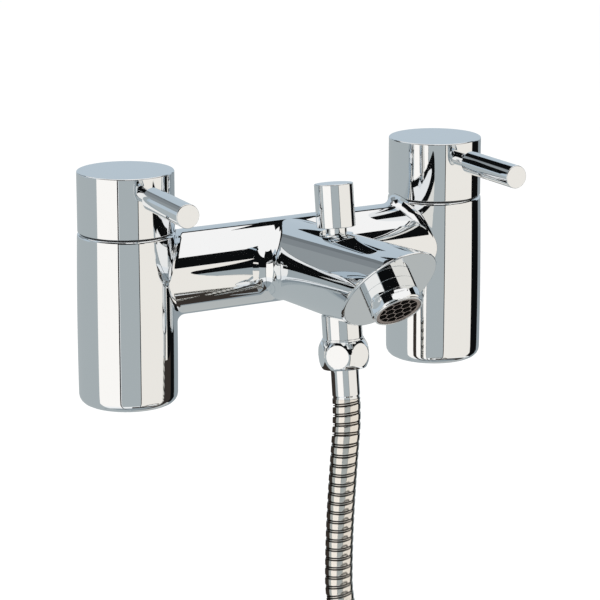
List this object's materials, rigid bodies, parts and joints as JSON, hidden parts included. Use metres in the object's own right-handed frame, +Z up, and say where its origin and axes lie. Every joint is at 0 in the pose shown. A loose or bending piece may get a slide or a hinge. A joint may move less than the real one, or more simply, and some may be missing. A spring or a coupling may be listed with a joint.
{
  "type": "bath shower mixer",
  "caption": "Deck-mounted bath mixer with lever handles on round pillars, a slanted spout, a lift-up diverter and a shower hose.",
  "frame": {"origin": "on the mounting plane under the pillars, midway between the two inlets", "axes": "+X along the bridge towards the cold side, +Z up, the spout points along -Y"},
  "size_m": [0.236, 0.292, 0.3023],
  "materials": {
    "chrome": "polished chrome plate",
    "hose_metal": "polished steel strip",
    "brass": "machined",
    "steel": "plain",
    "ceramic": "lapped ceramic",
    "black_rubber": "matt",
    "grey_rubber": "matt",
    "brown_plastic": "satin",
    "white_plastic": "satin",
    "clear_plastic": "smooth, low friction"
  },
  "bodies": {
    "mixer": {"body_casting": "chrome", "diverter_gland": "chrome", "gland_seal": "black_rubber", "return_spring": "steel", "shower_outlet": "chrome", "outlet_seal": "black_rubber", "aerator_ring": "chrome", "aerator_insert": "brown_plastic", "aerator_washer": "black_rubber", "hose_union": "chrome", "hose_washer": "black_rubber", "hose_tail": "brass", "hose_ferrule": "chrome", "hose_run": "hose_metal", "hose_coil": "hose_metal", "end_tail": "brass", "end_ferrule": "chrome", "cone_washer": "black_rubber", "hot_base_gasket": "grey_rubber", "hot_seat_seal": "black_rubber", "hot_fixed_disc": "ceramic", "hot_valve_body": "brass", "hot_spindle_seal": "black_rubber", "hot_body_seal": "black_rubber", "hot_glide_ring": "clear_plastic", "cold_base_gasket": "grey_rubber", "cold_seat_seal": "black_rubber", "cold_fixed_disc": "ceramic", "cold_valve_body": "brass", "cold_spindle_seal": "black_rubber", "cold_body_seal": "black_rubber", "cold_glide_ring": "clear_plastic"},
    "hot_handle": {"hot_handle_head": "chrome", "hot_lever": "chrome", "hot_grub_screw": "steel", "hot_spline_adaptor": "white_plastic", "hot_spindle": "brass", "hot_spindle_clip": "steel", "hot_moving_disc": "ceramic"},
    "cold_handle": {"cold_handle_head": "chrome", "cold_lever": "chrome", "cold_grub_screw": "steel", "cold_spline_adaptor": "white_plastic", "cold_spindle": "brass", "cold_spindle_clip": "steel", "cold_moving_disc": "ceramic"},
    "diverter": {"diverter_knob": "chrome", "diverter_stem": "brass", "diverter_upper_seal": "black_rubber", "diverter_lower_seal": "black_rubber", "stem_nut": "brass"},
    "cone_nut_body": {"cone_nut": "chrome"}
  },
  "joints": [
    {"name": "hot_handle_turn", "type": "hinge", "parent": "mixer", "child": "hot_handle", "pos_m": [-0.09, 0, 0.1], "axis": [0, 0, -1], "range_deg": [0, 90]},
    {"name": "cold_handle_turn", "type": "hinge", "parent": "mixer", "child": "cold_handle", "pos_m": [0.09, 0, 0.1], "axis": [0, 0, 1], "range_deg": [0, 90]},
    {"name": "diverter_lift", "type": "slide", "parent": "mixer", "child": "diverter", "axis": [0, 0.1219, 0.9925], "range_m": [0, 0.008], "stiffness_N_per_m": 150, "springref_m": -0.008, "deforming": ["return_spring"]},
    {"name": "cone_nut_spin", "type": "hinge", "parent": "mixer", "child": "cone_nut_body", "pos_m": [-0.0909, -0.1844, -0.1737], "axis": [-0.8, 0.6, 0], "continuous": true}
  ]
}
